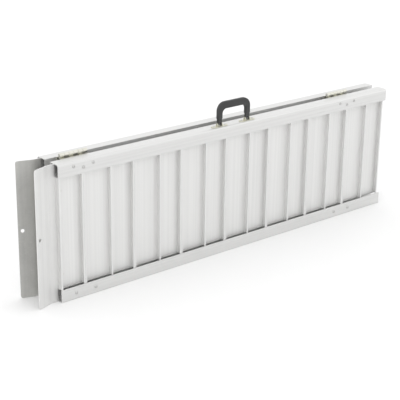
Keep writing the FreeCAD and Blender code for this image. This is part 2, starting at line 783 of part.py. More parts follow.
def handle():
    """Rigid D-shaped carrying handle. Its own origin is at one end of the pivot axis."""
    width = S["handle_width"]
    leg = S["handle_leg"]
    base = S["handle_base"]
    top = S["handle_top"]
    inner_top = S["handle_top"] - S["handle_bar"]
    body = new_body("HandleBody")
    grip = new_sketch(body, "XZ_Plane", "HandleShape")
    points = [(0, base), (0, top), (width, top), (width, base)]
    points += [(width - leg, base), (width - leg, inner_top), (leg, inner_top), (leg, base)]
    outline(grip, points)
    arch = pad(body, grip, S["handle_depth"], "HandleArch", centred=True)
    arch = fillet(body, arch, S["handle_round"], "HandleCorners", (0, 0, top), (width, 0, top))
    inner_corners = [(leg, 0, inner_top), (width - leg, 0, inner_top)]
    arch = fillet(body, arch, S["handle_inner_round"], "HandleInnerCorners", *inner_corners)
    face = S["handle_depth"] / 2
    long_edges = [(width / 2, side * face, z) for side in (-1, 1) for z in (top, inner_top)]
    arch = fillet(body, arch, S["handle_edge"], "HandleSoftEdges", *long_edges)

    # Each leg narrows to a neck that is notched into two prongs.
    prongs = new_sketch(body, "XZ_Plane", "ProngShape")
    radius = S["prong_radius"]
    notch = S["prong_notch"]
    neck_top = base + S["neck_root"]
    eye_starts = []
    for centre in (leg / 2, width - leg / 2):
        left = centre - fork_width / 2
        right = centre + fork_width / 2
        notch_left = left + S["prong_width"]
        notch_right = right - S["prong_width"]
        fork = [(left, 0), (notch_left, 0), (notch_left, notch), (notch_right, notch)]
        fork += [(notch_right, 0), (right, 0), (right, neck_top), (left, neck_top)]
        outline(prongs, fork)
        eye_starts += [left, notch_right]
    pad(body, prongs, 2 * radius, "Prongs", centred=True)

    # The rounded eye at the end of each prong is turned about the pivot axis.
    for index, start in enumerate(eye_starts):
        eye = new_sketch(body, "YZ_Plane", f"EyeShape{index}", start)
        circle(eye, 0, 0, radius)
        pad(body, eye, S["prong_width"], f"Eye{index}")
    pin_hole = new_sketch(body, "YZ_Plane", "PivotHoleShape")
    circle(pin_hole, 0, 0, S["pivot_pin_radius"] + S["pin_play"])
    pocket_through(body, pin_hole, "PivotHole", backwards=True)
    put(body, handle_x - width / 2, pivot_y, pivot_z)
    return keep(body, "handle")


def bracket(label, side):
    """Oblong plate with two ears that carry the handle's pivot pin."""
    name = "Bracket_" + label
    centre = handle_x + side * bracket_offset
    straight = S["plate_length"] - S["plate_width"]
    half_width = S["plate_width"] / 2
    wall = S["plate_wall"]
    pieces = [box(name + "_plate", straight, S["plate_width"], wall)]
    put(pieces[0], centre - straight / 2, pivot_y - half_width, rail_top)
    for step in (-1, 1):
        x = centre + step * straight / 2
        pieces.append(rod(f"{name}_end{step + 1}", half_width, wall, x, pivot_y, rail_top))
        ear_middle = step * (fork_width / 2 + S["ear_play"] + S["ear_wall"] / 2)
        ear_x = centre + ear_middle - S["ear_wall"] / 2
        ear = box(f"{name}_ear{step + 1}", S["ear_wall"], 2 * S["ear_radius"], S["pivot_height"])
        put(ear, ear_x, pivot_y - S["ear_radius"], rail_top)
        crown_name = f"{name}_crown{step + 1}"
        crown = rod_along_x(crown_name, S["ear_radius"], S["ear_wall"], ear_x, pivot_y, pivot_z)
        pieces += [ear, crown]
    run = S["overrun"]
    pin_x = centre - handle_pin_length / 2 - run
    bore_length = handle_pin_length + 2 * run
    drills = [rod_along_x(name + "_pin_hole", S["pivot_pin_radius"], bore_length, pin_x, pivot_y, pivot_z)]
    for step in (-1, 1):
        x = centre + step * S["screw_spacing"] / 2
        radius = S["screw_radius"] + S["bolt_play"]
        drills.append(rod(f"{name}_screw_hole{step + 1}", radius, 3 * wall, x, pivot_y, rail_top - wall))
    return keep(cut(name, fuse(name + "_solid", pieces), fuse(name + "_drills", drills)), label)


def handle_pins():
    """Steel pins pressed through each bracket's ears."""
    pins = []
    for index, side in enumerate((-1, 1)):
        x = handle_x + side * bracket_offset - handle_pin_length / 2
        radius = S["pivot_pin_radius"]
        pins.append(rod_along_x(f"HandlePin{index}", radius, handle_pin_length, x, pivot_y, pivot_z))
    return keep(group("HandlePins", pins), "handle_pins")


def bracket_screws():
    screws = []
    seat_z = rail_top + S["plate_wall"]
    length = S["screw_length"]
    for index, (x, y) in enumerate(bracket_screw_spots()):
        world_x = rail_left + x
        head = rod(f"ScrewHead{index}", S["screw_head"], S["screw_dome"], world_x, outside_y + y, seat_z)
        shank = rod(f"ScrewShank{index}", S["screw_radius"], length, world_x, outside_y + y, seat_z - length)
        screws.append(fuse(f"Screw{index}", [head, shank]))
    return keep(group("BracketScrews", screws), "handle_bracket_screws")


# ---------------------------------------------------------------------------------------------
# The rear half is the front half's mirror image across the plane between them
# ---------------------------------------------------------------------------------------------

def mirror(source, label):
    image = doc.addObject("Part::Mirroring", "Mirror_" + label)
    image.Source = source
    image.Base = FreeCAD.Vector(0, 0, 0)
    image.Normal = Y_AXIS
    return keep(image, label)


def rear_label(label):
    return label.replace("front_", "rear_", 1)


def build():
    top_rail = inner_rail()
    mirrored = [top_rail, outer_rail()]
    made_planks = planks()
    made_planks[0] = rivet_holes_in_end_plank(made_planks[0])
    mirrored += made_planks
    mirrored += [tongue(), tongue_rivets()]
    hinge_grip = S["rail_depth"] + S["hinge_wall"] + S["nut_height"]
    mirrored.append(bolts("front_hinge_bolts", hinge_bolt_spots(), hinge_grip))
    mirrored.append(nuts("front_hinge_nuts", hinge_bolt_spots(), tread_side_y + S["hinge_wall"]))
    bumper_grip = bumper_seat_y - outside_y + S["nut_height"]
    mirrored.append(bumpers())
    mirrored.append(bolts("front_bumper_bolts", bumper_bolt_spots(), bumper_grip))
    mirrored.append(nuts("front_bumper_nuts", bumper_bolt_spots(), bumper_seat_y))
    for source in mirrored:
        mirror(source, rear_label(source.Label))
    bracket_holes_in_rail(top_rail)
    for place, centre in zip(("left", "right"), hinge_centres):
        hinge_leaf(f"{place}_hinge_front_leaf", centre, turned=False)
        hinge_leaf(f"{place}_hinge_rear_leaf", centre, turned=True)
        hinge_pin(f"{place}_hinge_pin", centre)
    handle()
    bracket("handle_left_bracket", -1)
    bracket("handle_right_bracket", 1)
    handle_pins()
    bracket_screws()
    doc.recompute()


def check_document():
    """Stop if any object failed or any sub-part has no valid shape."""
    for item in doc.Objects:
        if "Invalid" in item.State or "Error" in item.State:
            raise ValueError(f"{item.Name} did not compute")
    for label, node in nodes.items():
        if node.Shape.isNull() or not node.Shape.isValid() or not node.Shape.Solids:
            raise ValueError(f"{label} has no valid solid")


def export():
    os.makedirs("parts", exist_ok=True)
    for label, node in nodes.items():
        node.Shape.exportStep(f"parts/{label}.step")
        print(label, len(node.Shape.Solids), "solids", round(node.Shape.Volume / 1000, 1), "cm3")


build()
check_document()
export()
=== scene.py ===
# %% [markdown]
# # A folding dog ramp, finished for a picture
# The ramp is two long aluminium halves that fold tread to tread on two hinges, with a black carrying
# handle on top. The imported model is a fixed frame: it says where every part is and which body it moves
# with. We never move those parts. We only put finished pieces in their place and mix their surfaces.

# %% Load the frame
import json
import math

import bpy
from mathutils import Matrix, Vector

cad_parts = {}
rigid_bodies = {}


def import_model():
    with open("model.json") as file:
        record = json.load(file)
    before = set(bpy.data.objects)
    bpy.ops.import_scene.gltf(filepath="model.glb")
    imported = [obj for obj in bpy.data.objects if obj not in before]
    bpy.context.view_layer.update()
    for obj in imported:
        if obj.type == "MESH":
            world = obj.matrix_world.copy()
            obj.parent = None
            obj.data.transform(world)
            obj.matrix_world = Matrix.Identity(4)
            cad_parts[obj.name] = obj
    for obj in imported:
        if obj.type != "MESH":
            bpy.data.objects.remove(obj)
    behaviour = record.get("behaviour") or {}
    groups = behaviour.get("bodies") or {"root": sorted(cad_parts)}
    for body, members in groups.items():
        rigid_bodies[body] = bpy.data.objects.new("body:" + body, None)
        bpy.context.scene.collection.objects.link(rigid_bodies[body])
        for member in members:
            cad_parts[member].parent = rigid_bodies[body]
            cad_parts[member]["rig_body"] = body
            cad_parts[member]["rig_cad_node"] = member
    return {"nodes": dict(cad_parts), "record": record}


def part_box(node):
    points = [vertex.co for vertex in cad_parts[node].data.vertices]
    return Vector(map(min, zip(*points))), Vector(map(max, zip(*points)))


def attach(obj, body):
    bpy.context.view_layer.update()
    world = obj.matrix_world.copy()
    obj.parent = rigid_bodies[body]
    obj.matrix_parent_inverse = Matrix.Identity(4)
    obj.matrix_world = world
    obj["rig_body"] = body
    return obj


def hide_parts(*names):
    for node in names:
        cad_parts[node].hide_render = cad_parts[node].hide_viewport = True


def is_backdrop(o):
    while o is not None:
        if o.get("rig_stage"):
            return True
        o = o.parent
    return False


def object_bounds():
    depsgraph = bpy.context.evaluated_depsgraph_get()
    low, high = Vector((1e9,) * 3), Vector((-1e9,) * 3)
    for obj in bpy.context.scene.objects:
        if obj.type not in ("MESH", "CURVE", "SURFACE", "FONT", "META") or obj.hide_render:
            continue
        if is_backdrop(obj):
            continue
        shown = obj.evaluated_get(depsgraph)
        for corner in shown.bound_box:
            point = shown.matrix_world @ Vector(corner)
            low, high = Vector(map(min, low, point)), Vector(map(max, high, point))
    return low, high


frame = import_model()
CAD_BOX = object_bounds()
BODIES = frame["record"]["behaviour"]["bodies"]
NODE_BODY = {node: body for body, members in BODIES.items() for node in members}
NODE_SLOT = {part["node"]: part["material_slot"] for part in frame["record"]["subparts"]}
MM = 0.001
MERGE_GAP = 0.005 * MM
HAIR = 0.01 * MM
FACING = 0.9
SMOOTH_BELOW = 32
FRAME_SIZE = [round(size, 3) for size in CAD_BOX[1] - CAD_BOX[0]]
print(len(frame["nodes"]), "parts in the frame,", FRAME_SIZE, "m")

# %% [markdown]
# Blender's operators act on whatever is selected, and loading leaves all the parts selected. So each
# piece of work starts by clearing the selection and making one object the active one.

# %% Selecting and naming helpers
def only(piece):
    """Select this piece and nothing else."""
    if bpy.context.mode != "OBJECT":
        bpy.ops.object.mode_set(mode="OBJECT")
    bpy.ops.object.select_all(action="DESELECT")
    piece.select_set(True)
    bpy.context.view_layer.objects.active = piece
    return piece


def edit(piece):
    """Open the piece in edit mode with nothing selected."""
    only(piece)
    bpy.ops.object.mode_set(mode="EDIT")
    bpy.ops.mesh.select_mode(type="VERT")
    bpy.ops.mesh.select_all(action="DESELECT")


def done():
    bpy.ops.object.mode_set(mode="OBJECT")


def named(name):
    """Name the object that an operator has just added, and its mesh."""
    piece = bpy.context.active_object
    piece.name = name
    piece.data.name = name
    return piece


def apply_modifier(piece, kind, **settings):
    only(piece)
    modifier = piece.modifiers.new(kind.lower(), kind)
    for key, value in settings.items():
        setattr(modifier, key, value)
    bpy.ops.object.modifier_apply(modifier=modifier.name)


def faces_where(piece, test):
    """Select only the faces whose centre and normal pass the test. It is called in edit mode."""
    bpy.ops.mesh.select_mode(type="FACE")
    bpy.ops.mesh.select_all(action="DESELECT")
    bpy.ops.object.mode_set(mode="OBJECT")
    for face in piece.data.polygons:
        face.select = test(face.center, face.normal)
    bpy.ops.object.mode_set(mode="EDIT")


def clean(piece):
    """Merge doubles and turn every face outwards."""
    edit(piece)
    bpy.ops.mesh.select_all(action="SELECT")
    bpy.ops.mesh.remove_doubles(threshold=MERGE_GAP)
    bpy.ops.mesh.normals_make_consistent(inside=False)
    done()


def settle(piece):
    """Put the object's place into its mesh, so that the object itself sits at the origin."""
    only(piece)
    bpy.ops.object.transform_apply(location=True, rotation=True, scale=True)
    return piece


def smooth(piece, angle=SMOOTH_BELOW):
    only(piece)
    bpy.ops.object.shade_smooth_by_angle(angle=math.radians(angle))


print("helpers are ready")

# %% [markdown]
# ## Camera
# A long lens from the front left, a little above the ramp, keeps the long edges nearly parallel. The
# camera is placed from the middle of the ramp: back along its own line of sight, then a little aside.

# %% Camera
CAMERA_AZIMUTH = math.radians(-39.93)
CAMERA_ELEVATION = math.radians(20.65)
CAMERA_ROLL = math.radians(0.87)
CAMERA_DISTANCE = 3.293
CAMERA_ASIDE = -0.0557
CAMERA_UP = -0.0776
CAMERA_LENS = 103.0
FLOOR_TO_MIDDLE = 0.2255


def line_of_sight():
    """The camera's right, up and backward directions."""
    back = Vector((
        math.sin(CAMERA_AZIMUTH) * math.cos(CAMERA_ELEVATION),
        -math.cos(CAMERA_AZIMUTH) * math.cos(CAMERA_ELEVATION),
        math.sin(CAMERA_ELEVATION),
    ))
    level = Vector((0, 0, 1)).cross(back).normalized()
    up = back.cross(level)
    roll = Matrix.Rotation(CAMERA_ROLL, 3, back)
    return roll @ level, roll @ up, back


right, up, back = line_of_sight()
camera = bpy.data.objects.new("studio_camera", bpy.data.cameras.new("studio_camera"))
bpy.context.scene.collection.objects.link(camera)
camera.data.lens = CAMERA_LENS
camera.matrix_world = Matrix((right, up, back)).transposed().to_4x4()
middle = Vector((0, 0, FLOOR_TO_MIDDLE))
camera.location = middle + back * CAMERA_DISTANCE + right * CAMERA_ASIDE + up * CAMERA_UP
bpy.context.scene.camera = camera
print("camera at", [round(value, 3) for value in camera.location])

# %% [markdown]
# ## Shader arithmetic
# A surface's pattern is a sum of noises, and writing the sum as Python reads better than wiring boxes
# by hand. `Wire` holds one output of a node, and Python's own signs on it add Math nodes. `Recipe` is
# one material. Its `node` method makes any node: first its settings, then its values and links.

# %% The Wire and Recipe classes
class Wire:
    """One output of a node, which ordinary arithmetic can be done on."""

    def __init__(self, recipe, socket):
        self.recipe = recipe
        self.socket = socket

    def maths(self, operation, first, second):
        return self.recipe.node("Math", 0, {"operation": operation}, {0: first, 1: second})

    def __add__(self, other):
        return self.maths("ADD", self, other)

    def __sub__(self, other):
        return self.maths("SUBTRACT", self, other)

    def __mul__(self, other):
        return self.maths("MULTIPLY", self, other)


class Recipe:
    """One material and the nodes that it is mixed from."""

    def __init__(self, name):
        self.material = bpy.data.materials.new(name)
        self.material.use_nodes = True
        self.tree = self.material.node_tree
        self.tree.nodes.clear()

    def node(self, kind, output=0, settings=None, inputs=None):
        made = self.tree.nodes.new("ShaderNode" + kind)
        for key, value in (settings or {}).items():
            setattr(made, key, value)
        for key, value in (inputs or {}).items():
            if isinstance(value, Wire):
                self.tree.links.new(value.socket, made.inputs[key])
            else:
                made.inputs[key].default_value = value
        return Wire(self, made.outputs[output]) if made.outputs else None

    def place(self):
        """Where a point is on the object, in metres."""
        return self.node("TexCoord", "Object")

    def stretched(self, scale):
        """The place multiplied by a scale in each direction, which draws a noise out into lines."""
        return self.node("VectorMath", 0, {"operation": "MULTIPLY"}, {0: self.place(), 1: scale})

    def noise(self, scale, detail=3.0, roughness=0.55):
        """A noise from 0 to 1 with this many waves per metre in each direction."""
        inputs = {"Vector": self.stretched(scale), "Scale": 1.0}
        inputs.update({"Detail": detail, "Roughness": roughness})
        return self.node("TexNoise", 0, {}, inputs)

    def spread(self, wire, low, high, new_low, new_high):
        """Move a range of values on to another range, and hold it there."""
        inputs = {"Value": wire, "From Min": low, "From Max": high}
        inputs.update({"To Min": new_low, "To Max": new_high})
        return self.node("MapRange", 0, {"clamp": True}, inputs)

    def blend(self, share, first, second):
        """Mix two colours."""
        settings = {"data_type": "RGBA"}
        return self.node("Mix", 2, settings, {0: share, 6: first, 7: second})

    def finish(self, bump, **sockets):
        """Join everything to the surface shader. The bump is (height wire, strength, distance)."""
        height, strength, distance = bump
        inputs = {"Height": height, "Strength": strength, "Distance": distance}
        sockets["Normal"] = self.node("Bump", 0, {}, inputs)
        named_sockets = {key.replace("_", " "): value for key, value in sockets.items()}
        shader = self.node("BsdfPrincipled", 0, {}, named_sockets)
        self.node("OutputMaterial", 0, {}, {"Surface": shader})
        return self.material


def grey(value, warmth=0.0):
    """A nearly neutral colour. Positive warmth leans it towards straw, negative towards blue."""
    return (value * (1 + 0.2 * warmth), value * (1 + 0.1 * warmth), value * (1 - warmth), 1.0)


print("the shader arithmetic is ready")

# %% [markdown]
# ## Aluminium
# An extruded bar comes out of its die with fine lines along its length, no two of quite the same tone,
# and handling adds cloudy marks and a few scratches. One function mixes all of that, and the rails,
# planks and tongues each call it with the direction of their own lines. The lines are noise squeezed
# hard across the bar and hardly at all along it.

# %% Extruded aluminium
LINES_ALONG = {"x": (1.2, 700.0, 700.0), "z": (700.0, 700.0, 1.2)}
STRIPES_ALONG = {"x": (0.8, 190.0, 190.0), "z": (190.0, 190.0, 0.8)}
BANDS_ALONG = {"x": (0.4, 60.0, 60.0), "z": (60.0, 60.0, 0.4)}
SCRATCH_ALONG = {"x": (9.0, 260.0, 240.0), "z": (260.0, 240.0, 9.0)}


def extruded_aluminium(name, along, tone, roughness, band_depth, warmth=0.01):
    recipe = Recipe(name)
    lines = recipe.noise(LINES_ALONG[along], 4.0, 0.6)
    bands = recipe.noise(BANDS_ALONG[along], 2.0, 0.5)
    clouds = recipe.noise((7.0, 7.0, 7.0), 5.0, 0.6)
    scratches = recipe.spread(recipe.noise(SCRATCH_ALONG[along], 2.0, 0.4), 0.68, 0.76, 0.0, 1.0)
    patches = recipe.spread(recipe.noise((16.0, 16.0, 16.0), 3.0), 0.52, 0.66, 0.0, 1.0)
    marks = scratches * patches
    stripes = recipe.noise(STRIPES_ALONG[along], 1.0, 0.5)
    shade = (lines - 0.5) * 0.3 + (bands - 0.5) * band_depth
    shade = shade + (stripes - 0.5) * 0.5 + (clouds - 0.5) * 0.2
    light = recipe.spread(shade, -0.3, 0.3, 0.0, 1.0)
    colour = recipe.blend(light, grey(tone * 0.93, warmth), grey(tone * 1.06, warmth))
    colour = recipe.blend(marks * 0.3, colour, grey(tone * 0.75, warmth))
    wear = clouds * 0.6 + lines * 0.4 + marks * 0.4
    rough = recipe.spread(wear, 0.3, 0.8, roughness - 0.06, roughness + 0.08)
    height = lines * 0.7 + bands * 0.2 - marks * 0.5
    return recipe.finish((height, 0.1, 0.1 * MM), Base_Color=colour, Roughness=rough, Metallic=0.7)


def scuffed_shaded_tread(name, tone, warmth=0.03):
    """The side that paws walk on: painted shade in its low tone, dulled by grit, scuffed along the ramp.
    """
    recipe = Recipe(name)
    lines = recipe.noise(LINES_ALONG["z"], 4.0, 0.6)
    bands = recipe.noise(BANDS_ALONG["z"], 2.0, 0.5)
    grime = recipe.noise((11.0, 14.0, 9.0), 6.0, 0.65)
    scuffs = recipe.spread(recipe.noise((40.0, 420.0, 420.0), 3.0, 0.5), 0.6, 0.72, 0.0, 1.0)
    dirt = recipe.spread(grime * 0.7 + bands * 0.5, 0.4, 0.8, 0.0, 1.0)
    # Painted shade: the tone is set low for this side's shade, and the dirt mask mottles it.
    colour = recipe.blend(dirt, grey(tone * 1.12, warmth), grey(tone * 0.86, warmth))
    colour = recipe.blend(scuffs * 0.25, colour, grey(tone * 1.3, warmth))
    rough = recipe.spread(dirt - scuffs * 0.5, -0.5, 1.0, 0.42, 0.66)
    height = lines * 0.6 + grime * 0.4 - scuffs * 0.4
    return recipe.finish((height, 0.15, 0.12 * MM), Base_Color=colour, Roughness=rough, Metallic=0.8)


def worn_highlit_edge(name, tone):
    """The rounded edge of a bar, polished by handling and nicked here and there, and painted lighter as a
    painted highlight.
    """
    recipe = Recipe(name)
    nicks = recipe.spread(recipe.noise((120.0, 120.0, 120.0), 4.0, 0.7), 0.56, 0.7, 0.0, 1.0)
    shine = recipe.noise((25.0, 25.0, 25.0), 3.0)
    # Lighter than the bar itself: painted highlight; the nicks darken it as real wear.
    colour = recipe.blend(nicks, grey(tone), grey(tone * 0.72))
    rough = recipe.spread(shine + nicks * 0.3, 0.3, 0.9, 0.24, 0.42)
    height = shine - nicks * 0.6
    return recipe.finish((height, 0.25, 0.1 * MM), Base_Color=colour, Roughness=rough, Metallic=1.0)


RAIL_FINISH = extruded_aluminium("rail_aluminium_finish", "x", 0.67, 0.44, 0.2)
PLANK_FINISH = extruded_aluminium("plank_aluminium_finish", "z", 0.74, 0.6, 0.3)
TONGUE_FINISH = extruded_aluminium("tongue_aluminium_finish", "z", 0.72, 0.58, 0.4)
# The tread's low tone, 0.55, is painted shade on the side that faces the other half.
TREAD_SHADE_FINISH = scuffed_shaded_tread("scuffed_shaded_tread_finish", 0.55)
# The edge finish is lighter than the rails: a painted highlight on real polish and nicks.
EDGE_HIGHLIGHT_FINISH = worn_highlit_edge("worn_highlit_edge_finish", 0.76)
print("aluminium finishes:", RAIL_FINISH.name, PLANK_FINISH.name, TONGUE_FINISH.name, TREAD_SHADE_FINISH.name)

# %% [markdown]
# ## Plated steel, rubber and plastic
# Zinc and nickel plating is never one colour. It goes from straw to blue in soft clouds, with tiny pits.
# The rubber is nearly black with pale dust in its pores. The handle is moulded plastic with a fine
# leathery grain, rubbed a little smoother and paler where hands close on it.

# %% Plated steel
def plated_steel(name, tone, warmth, roughness, brushed=(40.0, 900.0, 900.0)):
    recipe = Recipe(name)
    clouds = recipe.noise((55.0, 55.0, 55.0), 4.0, 0.6)
    brush = recipe.noise(brushed, 3.0, 0.6)
    pits = recipe.spread(recipe.noise((1300.0, 1300.0, 1300.0), 2.0), 0.66, 0.74, 0.0, 1.0)
    colour = recipe.blend(clouds, grey(tone * 0.82, warmth + 0.05), grey(tone * 1.08, warmth - 0.02))
    colour = recipe.blend(pits * 0.5, colour, grey(tone * 0.5, warmth))
    wear = brush * 0.5 + clouds * 0.5 + pits * 0.3
    rough = recipe.spread(wear, 0.3, 0.8, roughness - 0.08, roughness + 0.1)
    height = brush * 0.6 - pits * 0.7
    return recipe.finish((height, 0.2, 0.08 * MM), Base_Color=colour, Roughness=rough, Metallic=1.0)


HINGE_FINISH = plated_steel("plated_hinge_finish", 0.72, 0.08, 0.42)
PIN_FINISH = plated_steel("steel_pin_finish", 0.5, 0.0, 0.3)
FASTENER_FINISH = plated_steel("zinc_fastener_finish", 0.6, 0.0, 0.36, (300.0, 300.0, 300.0))
BRACKET_FINISH = plated_steel("nickel_bracket_finish", 0.62, 0.14, 0.36)
RIVET_FINISH = plated_steel("rivet_aluminium_finish", 0.74, 0.01, 0.45, (300.0, 300.0, 300.0))
print("plated finishes:", HINGE_FINISH.name, BRACKET_FINISH.name, FASTENER_FINISH.name)

# %% Rubber and moulded plastic
def dusty_rubber(name):
    recipe = Recipe(name)
    pores = recipe.noise((1500.0, 1500.0, 1500.0), 3.0)
    dust = recipe.spread(recipe.noise((60.0, 60.0, 60.0), 5.0, 0.65), 0.45, 0.75, 0.0, 1.0)
    colour = recipe.blend(dust * 0.6, grey(0.016), grey(0.06, 0.08))
    rough = recipe.spread(dust + pores * 0.3, 0.0, 1.2, 0.72, 0.92)
    return recipe.finish((pores, 0.5, 0.15 * MM), Base_Color=colour, Roughness=rough, Metallic=0.0)


def moulded_plastic(name, tone):
    recipe = Recipe(name)
    inputs = {"Vector": recipe.stretched((1.0, 1.0, 1.0)), "Scale": 1400.0, "Randomness": 1.0}
    grain = recipe.node("TexVoronoi", "Distance", {"feature": "F1"}, inputs)
    rub = recipe.spread(recipe.noise((38.0, 38.0, 38.0), 4.0, 0.6), 0.42, 0.68, 0.0, 1.0)
    scuffs = recipe.spread(recipe.noise((60.0, 300.0, 420.0), 3.0), 0.66, 0.78, 0.0, 1.0)
    colour = recipe.blend(rub * 0.7, grey(tone, -0.01), grey(tone * 1.35, -0.01))
    colour = recipe.blend(scuffs * 0.3, colour, grey(tone * 2.6))
    rough = recipe.spread(grain * 0.5 + rub * -0.4, -0.4, 0.5, 0.38, 0.58)
    height = grain - scuffs * 0.4
    return recipe.finish((height, 0.35, 0.12 * MM), Base_Color=colour, Roughness=rough, Metallic=0.0)


RUBBER_FINISH = dusty_rubber("rubber_finish")
PLASTIC_FINISH = moulded_plastic("handle_plastic_finish", 0.026)
SLOT_FINISH = {
    "rail_aluminium": RAIL_FINISH,
    "plank_aluminium": PLANK_FINISH,
    "tongue_aluminium": TONGUE_FINISH,
    "rivet_aluminium": RIVET_FINISH,
    "rubber": RUBBER_FINISH,
    "plated_hinge": HINGE_FINISH,
    "steel_pin": PIN_FINISH,
    "zinc_fasteners": FASTENER_FINISH,
    "nickel_bracket": BRACKET_FINISH,
    "handle_plastic": PLASTIC_FINISH,
}
print(len(SLOT_FINISH), "finishes for", len(set(NODE_SLOT.values())), "material slots")

# %% [markdown]
# ## Handing a piece over
# Every finished piece stands for one part of the frame: it hides that part, moves with the same body
# and takes the finish of the same material slot. A second finish, where there is one, is for the
# polished edges and is painted lighter as a painted highlight, and the planks and tongues add a third
# for the side that paws walk on, painted darker as painted shade under grit and scuffs.

# %% Hand over a finished piece
def hand_over(piece, node, edge_finish=None):
    piece.data.materials.clear()
    piece.data.materials.append(SLOT_FINISH[NODE_SLOT[node]])
    if edge_finish is not None:
        piece.data.materials.append(edge_finish)
    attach(piece, NODE_BODY[node])
    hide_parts(node)
    return piece


# %% [markdown]
# ## Rails, planks, tongues, hinge leaves and brackets
# These are straight extrusions and folded plates, and the frame already holds their true section. What
# a sharp model lacks is the small radius that every real edge has, which catches a thin line of light.
# We could build each bar again, but a copy of the part can never disagree with it. So we take a copy,
# merge its loose triangles, dissolve the flat faces back into single ones and bevel the sharp edges.
# The bevel puts its new faces in the second material, which gives the edges their own polish and a
# painted highlight, as that finish is lighter than the bar. Smooth shading would let those narrow
# faces bend the light on the broad ones beside them, so the Weighted Normal modifier then lets the
# broad faces decide, and they look flat again.

# %% Soften the edges of a copied part
SHARP = math.radians(30)
FLAT = math.radians(0.5)
PLAIN_FACES = 0
EDGE_FACES = 1
TREAD_SHADE_FACES = 2


def softened(node, suffix, radius, edge_finish=None):
    only(frame["nodes"][node])
    bpy.ops.object.duplicate(linked=False)
    piece = named(f"{node}_{suffix}")
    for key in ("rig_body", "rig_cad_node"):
        del piece[key]
    piece.parent = None
    edit(piece)
    bpy.ops.mesh.select_all(action="SELECT")
    bpy.ops.mesh.remove_doubles(threshold=HAIR)
    bpy.ops.mesh.dissolve_limited(angle_limit=FLAT)
    bpy.ops.mesh.normals_make_consistent(inside=False)
    done()
    for face in piece.data.polygons:
        face.material_index = PLAIN_FACES
    hand_over(piece, node, edge_finish)
    settings = {"width": radius, "segments": 2, "limit_method": "ANGLE", "angle_limit": SHARP}
    settings["material"] = -1 if edge_finish is None else EDGE_FACES
    apply_modifier(piece, "BEVEL", **settings)
    smooth(piece)
    apply_modifier(piece, "WEIGHTED_NORMAL", keep_sharp=True)
    return piece


def scuff_and_shade_tread_side(piece, node):
    """Give the darker finish, painted shade under grit and scuffs, to the faces that look towards the
    other half when the ramp is folded.
    """
    piece.data.materials.append(TREAD_SHADE_FINISH)
    inwards = 1 if node.startswith("front") else -1
    # The tread faces get the finish with painted shade, grit and scuffs.
    for face in piece.data.polygons:
        if face.material_index == PLAIN_FACES and face.normal.y * inwards > FACING:
            face.material_index = TREAD_SHADE_FACES


SOFTENED = (
    # part's name ends with, name of the finished piece, edge radius in mm, polished edges with painted
    # highlight
    ("rail", "bar", 0.5, EDGE_HIGHLIGHT_FINISH),
    ("plank", "board", 0.35, EDGE_HIGHLIGHT_FINISH),
    ("tongue", "plate", 0.6, EDGE_HIGHLIGHT_FINISH),
    ("leaf", "plate", 0.4, None),
    ("bracket", "plate", 0.35, None),
    ("bumpers", "blocks", 1.2, None),
)
softened_count = 0
for node in frame["nodes"]:
    stem = node.rstrip("_0123456789")
    for ending, suffix, radius, edge_finish in SOFTENED:
        if stem.endswith(ending):
            piece = softened(node, suffix, radius * MM, edge_finish)
            if ending in ("plank", "tongue"):
                scuff_and_shade_tread_side(piece, node)
            softened_count += 1
print(softened_count, "bars and plates with softened edges")

# %% [markdown]
# ## Turned pieces
# Bolts, rivets, screws and pins are round, so each is one outline swung round an axis, as on a lathe.
# We start from a plane, shrink it to a single point at the start of the outline, and extrude the point
# from corner to corner. Spin then swings that line right round the Z axis.

# %% A small lathe
TURNS = 28
DOME_STEPS = 6
BORE_STEPS = 32
HEAD_CHAMFER = 0.2 * MM
HEAD_RIM = 0.5 * MM


def turned(name, outline):
    """Swing an outline of (radius, height) points round Z. It starts and ends on the axis."""
    bpy.ops.mesh.primitive_plane_add(size=MM, location=(0, 0, 0))
    piece = named(name)
    edit(piece)
    bpy.ops.mesh.select_all(action="SELECT")
    bpy.ops.mesh.merge(type="CENTER")
    start = Vector((outline[0][0], 0, outline[0][1]))
    bpy.ops.transform.translate(value=start)
    for before, after in zip(outline, outline[1:]):
        step = (after[0] - before[0], 0, after[1] - before[1])
        bpy.ops.mesh.extrude_region_move(TRANSFORM_OT_translate={"value": step})
    bpy.ops.mesh.select_all(action="SELECT")
    bpy.ops.mesh.spin(steps=TURNS, angle=2 * math.pi, center=(0, 0, 0), axis=(0, 0, 1))
    done()
    clean(piece)
    return piece


def dome(radius, low, height):
    """Outline points of a round head, from its rim up to the middle."""
    quarter = [math.pi / 2 * index / DOME_STEPS for index in range(DOME_STEPS + 1)]
    return [(radius * math.cos(turn), low + height * math.sin(turn)) for turn in quarter]


def cut_with(piece, cutter, operation="DIFFERENCE"):
    """Cut the piece with another closed shape, which is used up."""
    apply_modifier(piece, "BOOLEAN", object=cutter, operation=operation, solver="EXACT")
    bpy.data.objects.remove(cutter)
    clean(piece)


print("the lathe is ready")

# %% [markdown]
# ## Where the fasteners are
# Each fastener node of the frame holds several separate solids. The loose triangles can be sorted into
# solids by their gaps along and up the ramp, so the frame itself says where each bolt is. A bolt's own
# axis runs across the ramp, along Y, and the rear half's bolts point the other way.

